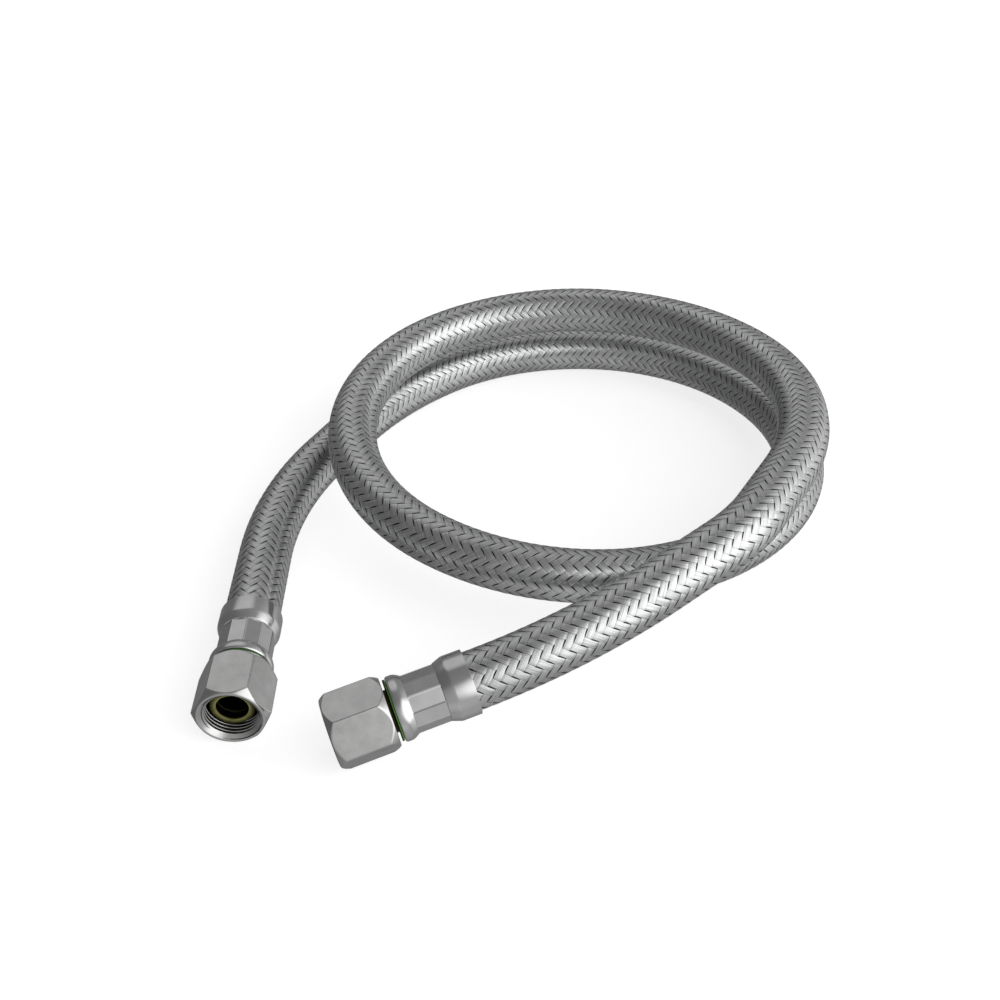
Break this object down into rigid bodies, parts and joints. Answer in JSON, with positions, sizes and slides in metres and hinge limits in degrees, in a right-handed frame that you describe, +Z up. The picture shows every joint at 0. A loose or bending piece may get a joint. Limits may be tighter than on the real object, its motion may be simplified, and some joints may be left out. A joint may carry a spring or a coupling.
{
  "type": "braided supply line",
  "caption": "Flexible water supply hose with a woven steel wire sleeve, coiled once and a half, with a crimped ferrule and a hexagon swivel nut at each end.",
  "frame": {"origin": "on the floor under the middle of nut A, on the flat it rests on", "axes": "+Y from the mouth of end A into the hose, +X towards the middle of the coil, +Z up"},
  "size_m": [0.1817, 0.2054, 0.0422],
  "materials": {
    "braid": "woven stainless wire, bright",
    "tube": "matt black",
    "ferrule": "pressed stainless sheet, satin bright",
    "nipple": "olive passivated brass",
    "spacer_ring": "green, smooth",
    "washer": "olive, smooth",
    "nut": "satin nickel plate on brass"
  },
  "bodies": {
    "coil": {"braid_coil": "braid", "tube_coil": "tube"},
    "lead_a": {"braid_lead_a": "braid", "tube_lead_a": "tube"},
    "end_a": {"braid_tail_a": "braid", "tube_tail_a": "tube", "ferrule_a": "ferrule", "nipple_a": "nipple", "spacer_ring_a": "spacer_ring"},
    "seal_a": {"washer_a": "washer"},
    "nut_a": {"nut_a": "nut"},
    "lead_b": {"braid_lead_b": "braid", "tube_lead_b": "tube"},
    "end_b": {"braid_tail_b": "braid", "tube_tail_b": "tube", "ferrule_b": "ferrule", "nipple_b": "nipple", "spacer_ring_b": "spacer_ring"},
    "seal_b": {"washer_b": "washer"},
    "nut_b": {"nut_b": "nut"}
  },
  "joints": [
    {"name": "lead_a_swing", "type": "hinge", "parent": "coil", "child": "lead_a", "pos_m": [0.01607, 0.11316, 0.00841], "axis": [0, 0, 1], "range_deg": [-25, 5], "stiffness_Nm_per_rad": 0.6},
    {"name": "end_a_lift", "type": "hinge", "parent": "lead_a", "child": "end_a", "pos_m": [0, 0.04195, 0.00875], "axis": [-1, 0, 0], "range_deg": [0, 25], "stiffness_Nm_per_rad": 0.6},
    {"name": "nut_a_slide", "type": "slide", "parent": "end_a", "child": "seal_a", "axis": [0, 1, 0], "range_m": [0, 0.0005]},
    {"name": "nut_a_spin", "type": "hinge", "parent": "seal_a", "child": "nut_a", "pos_m": [0, -0.0077, 0.00875], "axis": [0, -1, 0], "continuous": true},
    {"name": "lead_b_swing", "type": "hinge", "parent": "coil", "child": "lead_b", "pos_m": [0.14255, 0.05013, 0.03347], "axis": [0, 0, 1], "range_deg": [-8, 25], "stiffness_Nm_per_rad": 0.6},
    {"name": "end_b_lift", "type": "hinge", "parent": "lead_b", "child": "end_b", "pos_m": [0.11778, 0.02554, 0.02884], "axis": [-0.5393, 0.8421, 0], "range_deg": [0, 20], "stiffness_Nm_per_rad": 0.6},
    {"name": "nut_b_slide", "type": "slide", "parent": "end_b", "child": "seal_b", "axis": [0.9387, 0.295, 0.1782], "range_m": [0, 0.0005]},
    {"name": "nut_b_spin", "type": "hinge", "parent": "seal_b", "child": "nut_b", "pos_m": [0.02514, -0.01378, 0.00933], "axis": [-0.9387, -0.295, -0.1782], "continuous": true}
  ]
}
